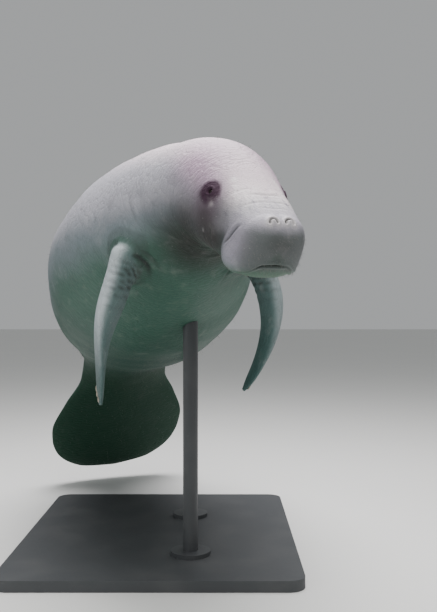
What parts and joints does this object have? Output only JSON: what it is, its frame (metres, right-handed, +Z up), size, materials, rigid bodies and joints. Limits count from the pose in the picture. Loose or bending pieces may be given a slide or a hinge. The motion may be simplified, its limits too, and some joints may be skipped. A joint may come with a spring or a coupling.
{
  "type": "manatee",
  "caption": "Stout grey manatee with a blunt muzzle, paddle flippers and a round paddle tail, swimming, held by a flat plate and upright rods.",
  "frame": {"origin": "centre of the underside of the stand's base", "axes": "+Z up, the animal swims towards -Y, -Y is the side the picture was taken from, +X is to the right there"},
  "size_m": [1.1803, 2.4724, 1.5316],
  "materials": {
    "skin": "matt, wrinkled hide",
    "nail": "satin horn",
    "eye": "wet and glossy",
    "stand": "satin paint"
  },
  "bodies": {
    "root": {"muzzle": "skin", "lower_jaw": "skin", "head": "skin", "neck": "skin", "torso_front": "skin", "torso_mid": "skin", "torso_rear": "skin", "tail_stock": "skin", "tail_paddle": "skin", "flipper_right_arm": "skin", "flipper_right_blade": "skin", "flipper_left_arm": "skin", "flipper_left_blade": "skin", "nail_right_1": "nail", "nail_right_2": "nail", "nail_right_3": "nail", "nail_left_1": "nail", "nail_left_2": "nail", "nail_left_3": "nail", "eye_right": "eye", "eye_left": "eye", "stand_base": "stand", "stand_rod_front": "stand", "stand_rod_rear": "stand"}
  },
  "joints": []
}
